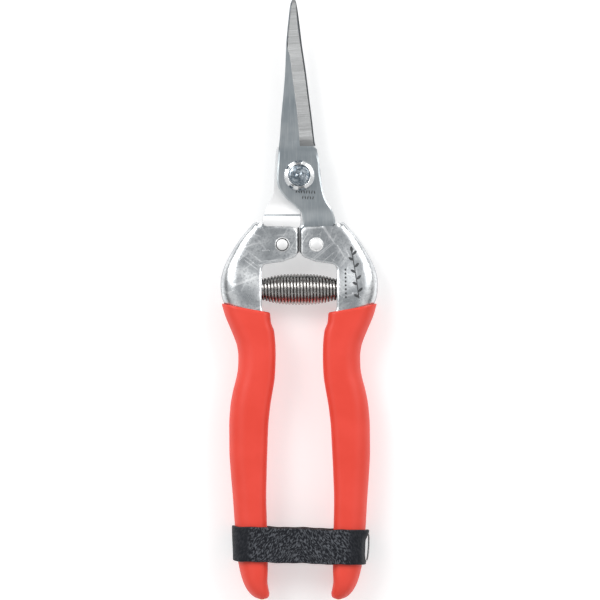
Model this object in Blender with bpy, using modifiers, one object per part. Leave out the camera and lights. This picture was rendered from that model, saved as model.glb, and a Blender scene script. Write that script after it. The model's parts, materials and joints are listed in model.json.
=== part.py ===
"""Floral snips: two pressed channel handles with vinyl grips, crossed blades, a barrel spring and a strap.

The snips lie flat, closed, tips towards +Y and the front face up (+Z). Every piece is modelled about
the pivot, with the shear plane between the blades at z = 0, and hangs under the empty pivot_axis.
"side" is +1 for the right half (front blade) and -1 for the left half (rear blade).
"""

import math

import bmesh
import bpy
from mathutils import Matrix

MM = 0.001

# Overall sizes
TIP_REACH = 56.0 * MM  # pivot to blade tips
HANDLE_REACH = 134.0 * MM  # pivot to the ends of the grips
BOW_HALF_WIDTH = 25.05 * MM  # tool centre line to the outside of the bow
FIT = 0.1 * MM  # clearance between pieces that touch in use

# Blades
BLADE_THICKNESS = 2.0 * MM
SHEAR_GAP = 0.1 * MM
EDGE_THICKNESS = 0.35 * MM
TIP_THICKNESS = 1.1 * MM
TIP_TAPER = 42.0 * MM  # the blades thin out from here to their tips
HEEL = (10.4 * MM, 8.3 * MM)  # the ground edge fades into the full thickness between these places
JOGGLE_START = -11.6 * MM  # the blade steps back to mid height between these two places
JOGGLE_END = -14.4 * MM

# Handles
CHANNEL_WALL = 1.0 * MM
CHANNEL_HALF_HEIGHT = 4.6 * MM
CHANNEL_END = 13.0 * MM - HANDLE_REACH
CHANNEL_STEP_WIDTH = 2.6 * MM  # the slope between a tab's face and the bow's
CHANNEL_STEP_INSET = 0.6 * MM  # how far that slope stays off the rolled edge
TAB_GAP = 0.53 * MM  # tool centre line to a tab's edge; the tabs are the closed stop
TAB_TOP = -16.2 * MM
TAB_SHOULDER = (11.6 * MM, 1.0 * MM)  # where the tab's top edge climbs into the bow, and how far
TAB_BOTTOM = -27.9 * MM
TAB_SLOPE = (5.2 * MM, 0.6 * MM)  # its lower edge rises towards the centre line from here
TAB_CORNER = 2.2 * MM
BOW_MOUTH = 11.95 * MM  # tool centre line to the edges of the channel beside the spring
MOUTH_CORNER = 1.2 * MM
MOUTH_BOTTOM = -42.0 * MM
MOUTH_RUN = 5.0 * MM  # length over which the free edges then close in to their place in the grip
TAB_RUN = 3.5 * MM  # length over which the pinch opens out below the tab

# Rivets
RIVET_X = 5.4 * MM
RIVET_Y = -21.9 * MM
RIVET_RADIUS = 1.6 * MM
RIVET_HEAD_RADIUS = 2.35 * MM
RIVET_HEAD_HEIGHT = 0.75 * MM
RIVET_HEAD_RIM = 0.2 * MM

# Pivot hardware
BOLT_RADIUS = 3.15 * MM
BOLT_HEAD_RADIUS = 5.2 * MM
BOLT_HEAD_HEIGHT = 2.0 * MM
BOLT_DOME = 0.5 * MM
BOLT_PROUD = 0.35 * MM
BOLT_CHAMFER = 0.4 * MM
WASHER_RADIUS = 5.3 * MM
WASHER_THICKNESS = 0.6 * MM
NUT_ACROSS_FLATS = 8.6 * MM
NUT_HEIGHT = 2.2 * MM

# Spring and its pegs
SPRING_Y = -36.1 * MM
SPRING_HALF_LENGTH = 16.0 * MM
SPRING_TURNS = 31
SPRING_WIRE_RADIUS = 0.42 * MM
SPRING_END_RADIUS = 3.4 * MM  # outside, where it enters a handle
SPRING_MIDDLE_RADIUS = 5.0 * MM
SPRING_VISIBLE_HALF = 11.9 * MM  # the barrel swells inside this distance from the centre line
SPRING_WAIST = 2.5 * MM  # and keeps its full size inside this one
PEG_RADIUS = 2.0 * MM
PEG_COLLAR_RADIUS = 3.2 * MM
PEG_COLLAR_THICKNESS = 1.2 * MM
PEG_NOSE = 3.0 * MM
PEG_TAIL_RADIUS = 1.3 * MM
PEG_TAIL_INSET = 0.25 * MM
PEG_STAND_OFF = 0.8 * MM
PEG_CHAMFER = 0.5 * MM

# Grips
GRIP_TOP_INNER = -43.9 * MM
GRIP_TOP_OUTER = -40.3 * MM
GRIP_WALL = 0.9 * MM
GRIP_HALF_HEIGHT = CHANNEL_HALF_HEIGHT + FIT + GRIP_WALL
GRIP_END_HALF_HEIGHT = 2.6 * MM
GRIP_CORNER = 2.5 * MM  # rounding along the grip's inner side
GRIP_RIM = [(0.33, -0.17), (0.36, 0.0), (0.54, 0.5), (0.74, 0.85), (1.0, 1.0)]  # shares across, of its climb

# Strap and its link
STRAP_Y = 16.8 * MM - HANDLE_REACH
STRAP_WIDTH = 11.0 * MM
STRAP_THICKNESS = 1.1 * MM
STRAP_TILT = math.radians(-1.7)
STRAP_CORNER = 4.6 * MM
STRAP_SLACK = 0.3 * MM  # beside the grips
LINK_WIRE_RADIUS = 0.42 * MM
LINK_HALF_LENGTH = 3.9 * MM
LINK_STAND_OFF = 0.75 * MM

MID_HEIGHT = GRIP_HALF_HEIGHT + FIT + STRAP_THICKNESS  # shear plane above the resting plane
PIVOT_Y = (HANDLE_REACH - TIP_REACH) / 2  # puts the origin midway along the tool

# Outlines, in mm about the pivot: (y, edge x, bevel x, spine x), edge side positive
FRONT_BLADE = [
    (56.0, -1.35, -1.75, -2.3),
    (55.0, -1.1, -2.1, -2.75),
    (48.4, -0.6, -2.8, -3.6),
    (42.0, 0.3, -3.4, -4.15),
    (33.1, 1.65, -2.45, -4.5),
    (25.5, 2.6, -1.4, -5.1),
    (17.8, 3.6, -0.5, -5.8),
    (10.4, 4.5, 2.0, -6.4),
    (8.9, 4.7, 3.8, -6.5),
    (8.3, 5.65, 4.9, -6.55),
    (4.5, 6.3, 5.8, -6.8),
    (0.6, 6.6, 6.1, -7.1),
    (-1.3, 6.9, 6.4, -7.1),
    (-3.2, 7.2, 6.7, -6.8),
    (-5.1, 7.6, 7.1, -5.8),
    (-7.3, 8.35, 7.8, -4.0),
    (-8.9, 9.15, 8.6, -2.1),
    (-10.3, 10.1, 9.6, -0.5),
    (-11.6, 10.7, 10.2, 0.7),
    (-14.4, 11.5, 11.0, 1.1),
    (-19.0, 10.6, 10.1, 1.1),
    (-24.0, 9.7, 9.2, 1.3),
    (-25.6, 8.2, 7.7, 2.6),
]
REAR_BLADE = [
    (56.0, 1.95, 1.6, 1.2),
    (55.0, 2.15, 1.6, 0.9),
    (48.4, 3.1, 1.0, -0.1),
    (42.0, 3.55, 0.1, -0.85),
    (33.1, 4.0, 0.1, -2.15),
    (25.5, 4.6, 0.8, -3.1),
    (17.8, 5.3, 1.6, -4.1),
    (10.4, 5.9, 3.4, -5.0),
    (9.6, 6.0, 4.9, -5.2),
    (9.0, 7.1, 6.2, -5.3),
    (4.5, 7.7, 7.1, -6.2),
    (0.6, 7.9, 7.4, -7.0),
    (-1.8, 8.0, 7.5, -7.0),
    (-3.2, 8.1, 7.6, -6.8),
    (-5.1, 8.2, 7.7, -5.8),
    (-7.3, 9.1, 8.6, -4.0),
    (-8.9, 9.9, 9.4, -2.1),
    (-10.3, 10.5, 10.0, -0.5),
    (-11.6, 11.0, 10.5, 0.7),
    (-14.4, 11.7, 11.2, 1.1),
    (-19.0, 10.6, 10.1, 1.1),
    (-24.0, 9.7, 9.2, 1.3),
    (-25.6, 8.2, 7.7, 2.6),
]
# Bow outside: (y in mm, x as a share of the bow's half width, how far its rolled edge has grown from
# the tab's half height to the channel's)
BOW_OUTLINE = [
    (-15.2, 0.5709, 0.04),
    (-16.6, 0.6267, 0.16),
    (-18.5, 0.7026, 0.36),
    (-20.4, 0.7545, 0.6),
    (-22.3, 0.8024, 0.8),
    (-24.2, 0.8543, 0.96),
    (-26.1, 0.9062, 1.0),
    (-28.0, 0.9341, 1.0),
    (-31.8, 0.992, 1.0),
    (-34.7, 1.0, 1.0),
    (-37.6, 0.994, 1.0),
    (-38.8, 0.982, 1.0),
]
# Grip outside: (share of the way from the grip's top to its end, outer x and inner x as shares of the
# bow's half width)
GRIP_OUTLINE = [
    (-0.0352, 1.006, 0.3832),
    (0.0011, 0.99, 0.3752),
    (0.0384, 0.9501, 0.3593),
    (0.0726, 0.8942, 0.3194),
    (0.1131, 0.8303, 0.3074),
    (0.175, 0.7784, 0.2994),
    (0.2156, 0.7784, 0.3074),
    (0.2561, 0.8024, 0.3114),
    (0.2967, 0.8423, 0.3353),
    (0.3543, 0.8782, 0.3713),
    (0.4194, 0.8942, 0.3972),
    (0.5005, 0.8942, 0.4112),
    (0.5827, 0.8782, 0.4232),
    (0.6638, 0.8543, 0.4311),
    (0.7652, 0.8343, 0.4232),
    (0.8613, 0.8104, 0.4112),
    (0.9082, 0.7705, 0.4132),
    (0.9488, 0.7265, 0.4192),
    (0.9733, 0.6826, 0.4152),
    (0.9904, 0.6347, 0.4232),
    (1.0, 0.5709, 0.4631),
]

STEEL = ((0.62, 0.64, 0.66), 0.3, 1.0)
POLISHED = ((0.75, 0.76, 0.77), 0.2, 1.0)
VINYL = ((0.84, 0.09, 0.055), 0.45, 0.0)
LEATHER = ((0.035, 0.038, 0.044), 0.55, 0.0)


def new_collection(name):
    """Make a collection in the scene."""
    collection = bpy.data.collections.new(name)
    bpy.context.scene.collection.children.link(collection)
    return collection


def make_material(name, finish):
    """One Principled material from a (colour, roughness, metallic) finish."""
    colour, roughness, metallic = finish
    material = bpy.data.materials.new(name)
    material.use_nodes = True
    shader = material.node_tree.nodes["Principled BSDF"]
    shader.inputs["Base Color"].default_value = (*colour, 1.0)
    shader.inputs["Roughness"].default_value = roughness
    shader.inputs["Metallic"].default_value = metallic
    return material


def smooth(mesh, angle=40):
    """Shade smooth, with creases kept sharp."""
    mesh.shade_smooth()
    mesh.set_sharp_from_angle(angle=math.radians(angle))


def add_part(name, mesh, finish):
    """A named part under the pivot empty, in the tool's collection, with its own material."""
    obj = bpy.data.objects.new(name, mesh)
    PARTS.objects.link(obj)
    obj.parent = PIVOT
    obj.data.materials.append(make_material(name, finish))
    smooth(mesh)
    return obj


def add_cutter(name, mesh):
    """A cutting shape: seen as wire and never rendered."""
    obj = bpy.data.objects.new(name, mesh)
    CUTTERS.objects.link(obj)
    obj.parent = PIVOT
    obj.hide_render = True
    obj.display_type = "WIRE"
    return obj


def cut(obj, cutter):
    """Take the cutter out of the part."""
    modifier = obj.modifiers.new(f"cut_{cutter.name}", "BOOLEAN")
    modifier.operation = "DIFFERENCE"
    modifier.object = cutter


def loft(name, rings, closed=True, capped=True):
    """A skin over rings of points; closed rings make a tube, open ones a sheet."""
    bm = bmesh.new()
    rows = [[bm.verts.new(point) for point in ring] for ring in rings]
    count = len(rings[0])
    spans = count if closed else count - 1
    for first, second in zip(rows, rows[1:]):
        for k in range(spans):
            n = (k + 1) % count
            bm.faces.new((first[k], first[n], second[n], second[k]))
    if closed and capped:
        bm.faces.new(list(reversed(rows[0])))
        bm.faces.new(rows[-1])
        bmesh.ops.recalc_face_normals(bm, faces=bm.faces)
    bm.normal_update()
    widest = max(bm.faces, key=lambda face: abs(face.calc_center_median().x))
    if widest.normal.x * widest.calc_center_median().x < 0:
        bmesh.ops.reverse_faces(bm, faces=bm.faces)
    mesh = bpy.data.meshes.new(name)
    bm.to_mesh(mesh)
    bm.free()
    return mesh


def cylinder(name, radius, bottom, top, x=0.0, y=0.0, segments=32):
    """An upright cylinder between two heights."""
    bm = bmesh.new()
    bmesh.ops.create_cone(
        bm,
        cap_ends=True,
        segments=segments,
        radius1=radius,
        radius2=radius,
        depth=top - bottom,
        matrix=Matrix.Translation((x, y, (top + bottom) / 2)),
    )
    mesh = bpy.data.meshes.new(name)
    bm.to_mesh(mesh)
    bm.free()
    return mesh


def turned(name, profile, finish, place, segments=32):
    """A turned piece: a (radius, height) profile, run from the top down, spun by a Screw modifier."""
    mesh = bpy.data.meshes.new(name)
    points = [(radius, 0.0, height) for radius, height in profile]
    mesh.from_pydata(points, [(k, k + 1) for k in range(len(points) - 1)], [])
    obj = add_part(name, mesh, finish)
    obj.matrix_local = place
    screw = obj.modifiers.new("turn", "SCREW")
    screw.steps = segments
    screw.render_steps = segments
    screw.use_merge_vertices = True
    screw.merge_threshold = 0.00001
    screw.use_smooth_shade = True
    return obj


def lerp(a, b, t):
    """Between a and b."""
    return a + (b - a) * t


def smoothstep(value, start, end):
    """0 before start, 1 after end, eased between; start may be above end."""
    t = min(1.0, max(0.0, (value - start) / (end - start)))
    return t * t * (3 - 2 * t)


def read(table, place, column):
    """Read a column of an outline table at a place along it, held level beyond its ends."""
    low, high = sorted((table[0][0], table[-1][0]))
    place = min(high, max(low, place))
    for first, second in zip(table, table[1:]):
        if min(first[0], second[0]) <= place <= max(first[0], second[0]):
            t = (place - first[0]) / (second[0] - first[0])
            return lerp(first[column], second[column], t)


def grip_y(share):
    """Where a share of the way down the grip lies."""
    return lerp(GRIP_TOP_OUTER, -HANDLE_REACH, share)


def grip_x(y, column):
    """Outer (column 1) or inner (column 2) x of a grip."""
    share = (y - GRIP_TOP_OUTER) / (-HANDLE_REACH - GRIP_TOP_OUTER)
    return BOW_HALF_WIDTH * read(GRIP_OUTLINE, share, column)


# Blades


def blade_base(y, side):
    """Height of the blade's lower face: off the shear plane above the joggle, mid height below it."""
    at_blade = SHEAR_GAP / 2 if side > 0 else -SHEAR_GAP / 2 - BLADE_THICKNESS
    return lerp(at_blade, -BLADE_THICKNESS / 2, smoothstep(y, JOGGLE_START, JOGGLE_END))


def blade_ring(y, edge, bevel, spine, side):
    """A blade's section: flat on the shear side, bevelled to the cutting edge on the outer side."""
    drawn_reach = FRONT_BLADE[0][0] * MM
    y *= MM
    thick = lerp(BLADE_THICKNESS, TIP_THICKNESS, smoothstep(y, TIP_TAPER, drawn_reach))
    ground = lerp(EDGE_THICKNESS, thick, smoothstep(y, *HEEL))
    if y > 0:
        y *= TIP_REACH / drawn_reach
    shear = blade_base(y, side) + (0.0 if side > 0 else BLADE_THICKNESS)
    outer = shear + side * thick
    lip = shear + side * ground
    section = [(spine, shear), (edge, shear), (edge, lip), (bevel, outer), (spine, outer)]
    return [(x * MM * side, y, z) for x, z in section]


def build_blade(name, outline, side):
    """A blade with its joggle, tang, pivot hole and rivet hole."""
    rings = [blade_ring(*row, side) for row in outline]
    joggle = [outline[-5], outline[-4]]
    for t in (0.25, 0.5, 0.75):
        row = [lerp(a, b, t) for a, b in zip(*joggle)]
        rings.append(blade_ring(*row, side))
    rings.sort(key=lambda ring: -ring[0][1])
    blade = add_part(name, loft(name, rings), STEEL)
    tall = 2 * BLADE_THICKNESS
    hole = cylinder(f"{name}_pivot_hole", BOLT_RADIUS + FIT / 2, -tall, tall)
    cut(blade, add_cutter(f"{name}_pivot_hole", hole))
    rivet_hole = cylinder(
        f"{name}_rivet_hole", RIVET_RADIUS + FIT, -tall, tall, side * RIVET_X, RIVET_Y
    )
    cut(blade, add_cutter(f"{name}_rivet_hole", rivet_hole))
    return blade


# Handles


def tab_half_height():
    """Outside of a pinched tab: the tang, its clearance and the wall."""
    return BLADE_THICKNESS / 2 + FIT + CHANNEL_WALL


def channel_outside(y):
    """Outer x of the channel: the bow above, then the grip less its wall and clearance."""
    bow_low = BOW_OUTLINE[-1][0] * MM
    clear_of_tang = read(REAR_BLADE, y / MM, 1) * MM + FIT + tab_half_height()
    bow = max(clear_of_tang, BOW_HALF_WIDTH * read(BOW_OUTLINE, y / MM, 1))
    if y >= bow_low:
        return bow
    inside = grip_x(y, 1) - GRIP_WALL - FIT
    return lerp(bow, inside, smoothstep(y, bow_low, GRIP_TOP_OUTER))


def channel_inside(y):
    """Inner x of the channel's free edges; above the spring mouth they are trimmed to outline later."""
    if y > MOUTH_BOTTOM:
        return -TAB_GAP
    in_grip = grip_x(y, 2) + GRIP_WALL + FIT
    return lerp(BOW_MOUTH, in_grip, smoothstep(y, MOUTH_BOTTOM, MOUTH_BOTTOM - MOUTH_RUN))


def channel_ring(y, side, arc=8):
    """A U section: half is walked from the free front edge out to the web, then mirrored."""
    outside = channel_outside(y)
    inside = channel_inside(y)
    half = lerp(tab_half_height(), CHANNEL_HALF_HEIGHT, read(BOW_OUTLINE, y / MM, 2))
    pinch = 1 - smoothstep(y, TAB_BOTTOM + TAB_RUN / 2, TAB_BOTTOM - TAB_RUN / 2)
    tab = lerp(half, tab_half_height(), pinch)
    start = outside - half
    step_out = max(inside + CHANNEL_WALL, start - CHANNEL_STEP_INSET)
    step_in = max(inside + CHANNEL_WALL / 2, step_out - CHANNEL_STEP_WIDTH)
    front = [(inside, tab), (lerp(inside, step_in, 0.5), tab), (step_in, tab), (step_out, half)]
    for k in range(arc + 1):
        angle = math.pi / 2 * (1 - k / arc)
        front.append((start + half * math.cos(angle), half * math.sin(angle)))
    whole = front + [(x, -z) for x, z in reversed(front[:-1])]
    return [(x * side, y, z) for x, z in whole]


def outline_cutter(name, points, side):
    """An upright prism through the whole tool, from an outline."""
    reach = 3 * CHANNEL_HALF_HEIGHT
    rings = [[(x * side, y, z) for x, y in points] for z in (-reach, reach)]
    return add_cutter(name, loft(name, rings))


def corner(x, y, radius, start, sweep, steps=5):
    """Points round a corner."""
    turns = [math.radians(start + sweep * k / steps) for k in range(steps + 1)]
    return [(x + radius * math.cos(a), y + radius * math.sin(a)) for a in turns]


def trim_outline():
    """What is trimmed from the pressed sheet: all inside the tab's outline and the spring mouth."""
    far = -4 * TAB_GAP
    shoulder_x, shoulder_rise = TAB_SHOULDER
    slope_x, slope_rise = TAB_SLOPE
    corner_x = TAB_GAP + TAB_CORNER
    points = [(far, 0.0), (shoulder_x, 0.0), (shoulder_x, TAB_TOP + shoulder_rise)]
    points.append((shoulder_x - 1.2 * shoulder_rise, TAB_TOP))
    points += corner(corner_x, TAB_TOP - TAB_CORNER, TAB_CORNER, 90, 90)
    low_corner_y = TAB_BOTTOM + slope_rise + 1.5 * TAB_CORNER
    points += corner(corner_x, low_corner_y, TAB_CORNER, 180, 70)
    points.append((slope_x, TAB_BOTTOM + slope_rise))
    fillet_x = BOW_MOUTH - MOUTH_CORNER
    points += corner(fillet_x, TAB_BOTTOM - MOUTH_CORNER, MOUTH_CORNER, 90, -90)
    points += [(BOW_MOUTH, MOUTH_BOTTOM), (far, MOUTH_BOTTOM)]
    return points


def build_handle(name, side):
    """A pressed channel: a sheet bent round its web, with the tab and spring mouth cut to outline."""
    stations = [row[0] * MM for row in BOW_OUTLINE]
    neck_middle = lerp(stations[-1], GRIP_TOP_OUTER, 0.5)
    stations += [neck_middle, GRIP_TOP_OUTER, MOUTH_BOTTOM + FIT, MOUTH_BOTTOM]
    grip_rows = [grip_y(row[0]) for row in GRIP_OUTLINE]
    stations += [y for y in grip_rows if CHANNEL_END + CHANNEL_WALL < y < MOUTH_BOTTOM - CHANNEL_WALL]
    stations.append(CHANNEL_END)
    rings = [channel_ring(y, side) for y in stations]
    handle = add_part(name, loft(name, rings, closed=False), STEEL)
    wall = handle.modifiers.new("wall", "SOLIDIFY")
    wall.thickness = CHANNEL_WALL
    wall.offset = -1
    wall.use_even_offset = True
    cut(handle, outline_cutter(f"{name}_trim", trim_outline(), side))
    tall = 2 * CHANNEL_HALF_HEIGHT
    rivet_hole = cylinder(
        f"{name}_rivet_hole", RIVET_RADIUS + FIT, -tall, tall, side * RIVET_X, RIVET_Y
    )
    cut(handle, add_cutter(f"{name}_rivet_hole", rivet_hole))
    peg_hole = cylinder(f"{name}_peg_hole", PEG_TAIL_RADIUS + FIT, -4 * CHANNEL_WALL, 4 * CHANNEL_WALL)
    across = Matrix.Rotation(math.pi / 2, 4, "Y")
    peg_hole.transform(Matrix.Translation((side * BOW_HALF_WIDTH, SPRING_Y, 0)) @ across)
    cut(handle, add_cutter(f"{name}_peg_hole", peg_hole))
    return handle


# Grips


def grip_ring(y, side, inset=0.0, corner_radius=GRIP_CORNER, arc=8):
    """A grip's section, or its pocket when inset: round over the web, flat faces, softer inner corners."""
    outer = grip_x(y, 1) - inset
    inner = grip_x(y, 2) + inset
    taper = smoothstep(y, -HANDLE_REACH - GRIP_CORNER / 2, CHANNEL_END - 2 * GRIP_CORNER)
    half = lerp(GRIP_END_HALF_HEIGHT, GRIP_HALF_HEIGHT, taper) - inset
    web = min(half, 0.6 * (outer - inner))
    soft = min(corner_radius, 0.35 * (outer - inner))
    front = []
    for k in range(4):
        angle = math.pi / 2 * k / 3
        front.append((inner + soft * (1 - math.cos(angle)), half - soft * (1 - math.sin(angle))))
    for k in range(arc + 1):
        angle = math.pi / 2 * (1 - k / arc)
        front.append((outer - web + web * math.cos(angle), half * math.sin(angle)))
    whole = front + [(x, -z) for x, z in reversed(front[:-1])]
    return [(x * side, y, z) for x, z in whole]


def build_grip(name, side):
    """A vinyl sleeve: its outer form less a pocket for the channel, with a slanted top."""
    stations = [grip_y(row[0]) for row in GRIP_OUTLINE]
    grip = add_part(name, loft(name, [grip_ring(y, side) for y in stations]), VINYL)
    smooth(grip.data, 50)
    pocket_end = CHANNEL_END - FIT
    deep = [y for y in stations if y > pocket_end + GRIP_WALL] + [pocket_end]
    pocket_rings = [grip_ring(y, side, GRIP_WALL, FIT) for y in deep]
    pocket_rings.insert(0, [(x, y + GRIP_WALL, z) for x, y, z in pocket_rings[0]])
    cut(grip, add_cutter(f"{name}_pocket", loft(f"{name}_pocket", pocket_rings)))
    above = (stations[0] + TAB_BOTTOM) / 2
    far = 2 * BOW_HALF_WIDTH
    rim = [(x * BOW_HALF_WIDTH, share) for x, share in GRIP_RIM]
    slant = [(x, lerp(GRIP_TOP_INNER, GRIP_TOP_OUTER, share)) for x, share in rim]
    top = [(far, above), (0.0, above), (0.0, slant[0][1])] + slant + [(far, GRIP_TOP_OUTER)]
    cut(grip, outline_cutter(f"{name}_top", top, side))
    return grip


# Fasteners


def build_pivot():
    """Bolt from behind, washer and nut in front."""
    back = -SHEAR_GAP / 2 - BLADE_THICKNESS - FIT
    front = SHEAR_GAP / 2 + BLADE_THICKNESS + FIT
    nut_base = front + WASHER_THICKNESS + FIT
    nut_top = nut_base + NUT_HEIGHT
    rim = nut_top + BOLT_PROUD - BOLT_DOME
    profile = [(0.0, rim + BOLT_DOME)]
    for k in range(1, 5):
        angle = math.pi / 2 * k / 4
        profile.append((BOLT_RADIUS * math.sin(angle), rim + BOLT_DOME * math.cos(angle)))
    profile += [(BOLT_RADIUS, back), (BOLT_HEAD_RADIUS, back)]
    profile += [
        (BOLT_HEAD_RADIUS, back - BOLT_HEAD_HEIGHT + BOLT_CHAMFER),
        (BOLT_HEAD_RADIUS - BOLT_CHAMFER, back - BOLT_HEAD_HEIGHT),
        (0.0, back - BOLT_HEAD_HEIGHT),
    ]
    turned("pivot_bolt", profile, STEEL, Matrix.Identity(4))
    washer = add_part(
        "pivot_washer", cylinder("pivot_washer", WASHER_RADIUS, front, front + WASHER_THICKNESS), POLISHED
    )
    bore = cylinder("pivot_washer_bore", BOLT_RADIUS + FIT, 0.0, nut_top + NUT_HEIGHT)
    bore_cutter = add_cutter("pivot_washer_bore", bore)
    cut(washer, bore_cutter)
    nut_radius = NUT_ACROSS_FLATS / 2 / math.cos(math.pi / 6)
    nut_mesh = cylinder("pivot_nut", nut_radius, nut_base, nut_top, segments=6)
    nut = add_part("pivot_nut", nut_mesh, POLISHED)
    cut(nut, bore_cutter)
    crown_radius = NUT_ACROSS_FLATS / 2 - FIT
    crown = bpy.data.meshes.new("pivot_nut_crown")
    bm = bmesh.new()
    bmesh.ops.create_cone(
        bm,
        cap_ends=True,
        segments=32,
        radius1=crown_radius + 2 * NUT_HEIGHT / math.tan(math.pi / 6),
        radius2=crown_radius,
        depth=2 * NUT_HEIGHT,
        matrix=Matrix.Translation((0, 0, nut_top - NUT_HEIGHT)),
    )
    bm.to_mesh(crown)
    bm.free()
    chamfer_all_round = nut.modifiers.new("crown", "BOOLEAN")
    chamfer_all_round.operation = "INTERSECT"
    chamfer_all_round.object = add_cutter("pivot_nut_crown", crown)


def build_rivet(name, side):
    """A solid rivet, domed both ends, through a tab and the tang in it."""
    seat = tab_half_height() + FIT
    half = [(0.0, seat + RIVET_HEAD_HEIGHT)]
    for k in range(1, 6):
        angle = math.pi / 2 * k / 5
        dome = (RIVET_HEAD_HEIGHT - RIVET_HEAD_RIM) * math.cos(angle)
        half.append((RIVET_HEAD_RADIUS * math.sin(angle), seat + RIVET_HEAD_RIM + dome))
    half += [(RIVET_HEAD_RADIUS, seat), (RIVET_RADIUS, seat)]
    profile = half + [(radius, -height) for radius, height in reversed(half)]
    place = Matrix.Translation((side * RIVET_X, RIVET_Y, 0))
    turned(name, profile, POLISHED, place, segments=24)


def build_spring_peg(name, side):
    """A stud fixed in the web: collar for the spring's end, nose inside its coils."""
    tail_end = BOW_HALF_WIDTH - PEG_TAIL_INSET
    shoulder = BOW_HALF_WIDTH - CHANNEL_WALL - PEG_STAND_OFF
    seat = SPRING_HALF_LENGTH + SPRING_WIRE_RADIUS + FIT
    nose_radius = SPRING_END_RADIUS - 2 * SPRING_WIRE_RADIUS - 2 * FIT
    nose_end = SPRING_HALF_LENGTH - PEG_NOSE
    profile = [
        (0.0, tail_end),
        (PEG_TAIL_RADIUS, tail_end),
        (PEG_TAIL_RADIUS, shoulder),
        (PEG_RADIUS, shoulder),
        (PEG_RADIUS, seat + PEG_COLLAR_THICKNESS),
        (PEG_COLLAR_RADIUS, seat + PEG_COLLAR_THICKNESS),
        (PEG_COLLAR_RADIUS, seat),
        (nose_radius, seat),
        (nose_radius, nose_end + PEG_CHAMFER),
        (nose_radius - PEG_CHAMFER, nose_end),
        (0.0, nose_end),
    ]
    place = Matrix.Translation((0, SPRING_Y, 0)) @ Matrix.Rotation(side * math.pi / 2, 4, "Y")
    turned(name, profile, STEEL, place, segments=24)


def wire(name, points, radius, resolution):
    """A capped round wire through points: a bevelled curve turned into a mesh."""
    curve = bpy.data.curves.new(f"{name}_path", "CURVE")
    curve.dimensions = "3D"
    curve.bevel_depth = radius
    curve.bevel_resolution = resolution
    curve.use_fill_caps = True
    line = curve.splines.new("POLY")
    line.points.add(len(points) - 1)
    for point, place in zip(line.points, points):
        point.co = (*place, 1)
    path = bpy.data.objects.new(f"{name}_path", curve)
    CUTTERS.objects.link(path)
    depsgraph = bpy.context.evaluated_depsgraph_get()
    mesh = bpy.data.meshes.new_from_object(path.evaluated_get(depsgraph))
    bpy.data.objects.remove(path)
    bm = bmesh.new()
    bm.from_mesh(mesh)
    bmesh.ops.remove_doubles(bm, verts=bm.verts, dist=0.00001)
    bmesh.ops.recalc_face_normals(bm, faces=bm.faces)
    bm.to_mesh(mesh)
    bm.free()
    return mesh


def build_spring():
    """A barrel compression spring, wound right-handed, as one wire."""
    per_turn = 10
    count = SPRING_TURNS * per_turn
    points = []
    for k in range(count + 1):
        x = lerp(-SPRING_HALF_LENGTH, SPRING_HALF_LENGTH, k / count)
        swell = 1 - smoothstep(abs(x), SPRING_WAIST, SPRING_VISIBLE_HALF)
        radius = lerp(SPRING_END_RADIUS, SPRING_MIDDLE_RADIUS, swell) - SPRING_WIRE_RADIUS
        angle = 2 * math.pi * k / per_turn
        points.append((x, SPRING_Y + radius * math.cos(angle), radius * math.sin(angle)))
    add_part("coil_spring", wire("coil_spring", points, SPRING_WIRE_RADIUS, 1), STEEL)


# Strap and link


def strap_inside():
    """Half the width inside the band, clear of both grips."""
    return grip_x(STRAP_Y + STRAP_WIDTH / 2, 1) + STRAP_SLACK


# Strap


def strap_outline(grow):
    """The loop's section round both grips, grown outwards from its snug fit."""
    half_width = strap_inside() + grow
    half_height = GRIP_HALF_HEIGHT + FIT + grow
    radius = STRAP_CORNER + grow
    points = []
    for cx, cz, start in ((1, 1, 0), (-1, 1, 90), (-1, -1, 180), (1, -1, 270)):
        middle = (cx * (half_width - radius), cz * (half_height - radius))
        points += corner(*middle, radius, start, 90, steps=6)
    return points


def strap_place():
    """Where the strap sits, with its slight tilt."""
    return Matrix.Translation((0, STRAP_Y, 0)) @ Matrix.Rotation(STRAP_TILT, 4, "Z")


def build_strap():
    """A leather band round both grips: its inner and outer outlines skinned on both sides."""
    half = STRAP_WIDTH / 2
    corners = [(-half, 0.0), (-half, STRAP_THICKNESS), (half, STRAP_THICKNESS), (half, 0.0), (-half, 0.0)]
    rings = [[(x, y, z) for x, z in strap_outline(grow)] for y, grow in corners]
    mesh = loft("strap", rings, capped=False)
    bm = bmesh.new()
    bm.from_mesh(mesh)
    bmesh.ops.remove_doubles(bm, verts=bm.verts, dist=0.00001)
    bmesh.ops.recalc_face_normals(bm, faces=bm.faces)
    bm.to_mesh(mesh)
    bm.free()
    strap = add_part("strap", mesh, LEATHER)
    strap.matrix_local = strap_place()


def build_strap_link():
    """A wire staple that closes the band beside the right grip: its crown stands off the leather."""
    foot = strap_inside() + STRAP_THICKNESS + LINK_WIRE_RADIUS + FIT
    steps = 16
    points = []
    for k in range(steps + 1):
        t = -1 + 2 * k / steps
        points.append((lerp(foot, foot + LINK_STAND_OFF, 1 - t * t), LINK_HALF_LENGTH * t, 0))
    link = add_part("strap_link", wire("strap_link", points, LINK_WIRE_RADIUS, 2), POLISHED)
    link.matrix_local = strap_place()


for old in list(bpy.data.objects):
    bpy.data.objects.remove(old)
PARTS = new_collection("floral_snips")
CUTTERS = new_collection("cutters")
PIVOT = bpy.data.objects.new("pivot_axis", None)
PIVOT.location = (0, PIVOT_Y, MID_HEIGHT)
PARTS.objects.link(PIVOT)

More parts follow.
